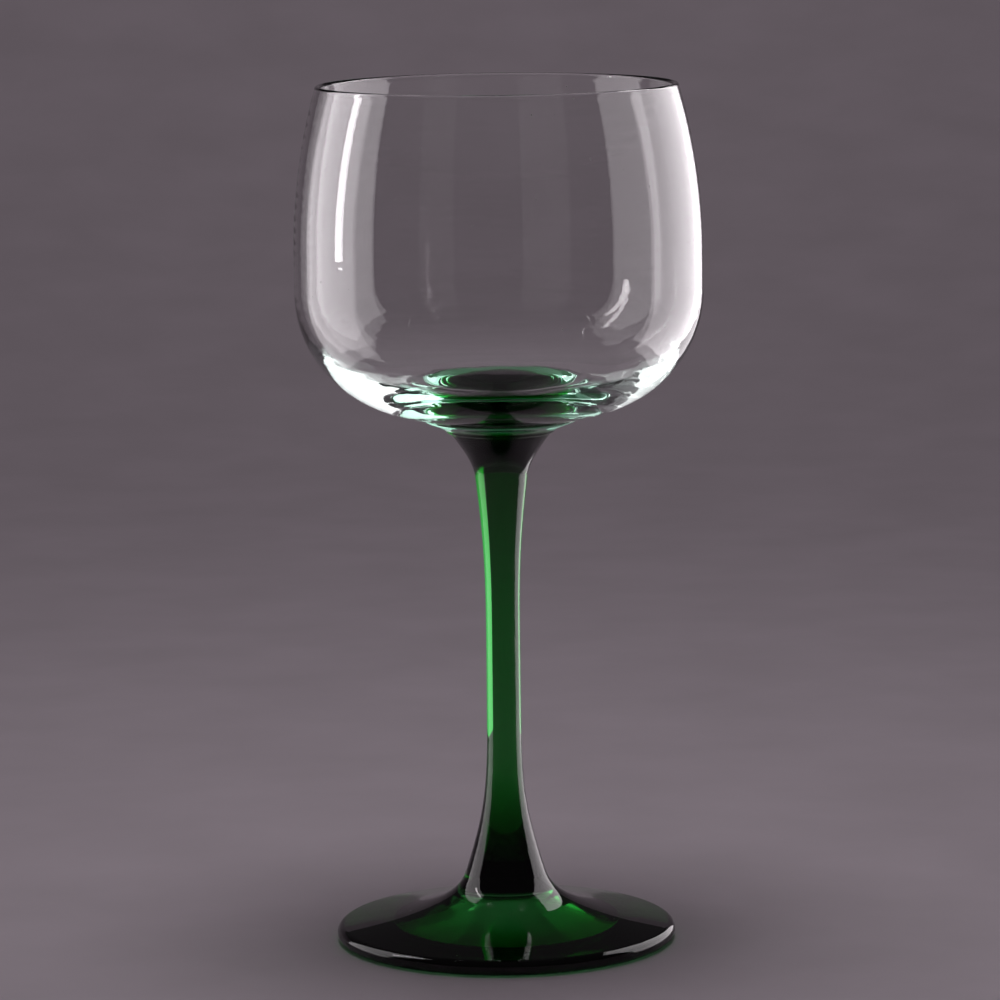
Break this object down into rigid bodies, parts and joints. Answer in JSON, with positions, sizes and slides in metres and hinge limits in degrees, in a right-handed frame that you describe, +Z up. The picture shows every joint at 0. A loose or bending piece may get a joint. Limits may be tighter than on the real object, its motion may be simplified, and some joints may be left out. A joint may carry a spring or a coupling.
{
  "type": "wine glass",
  "caption": "Stemmed hock wine glass: clear round-shouldered bowl with a thick base, clear collar, solid green stem with flared ends and a green foot.",
  "frame": {"origin": "centre of the foot's resting ring, in the plane it stands on", "axes": "+Z up along the stem's axis, towards the rim; the glass is round, so +X and +Y are any two level directions"},
  "size_m": [0.0802, 0.0802, 0.17],
  "materials": {
    "clear_glass": "clear soda-lime glass, fire-polished, with a faint grey-green tint where it is thick",
    "green_glass": "dark emerald-green glass, coloured right through, pressed and fire-polished"
  },
  "bodies": {
    "root": {"bowl": "clear_glass", "collar": "clear_glass", "stem": "green_glass", "foot": "green_glass"}
  },
  "joints": []
}
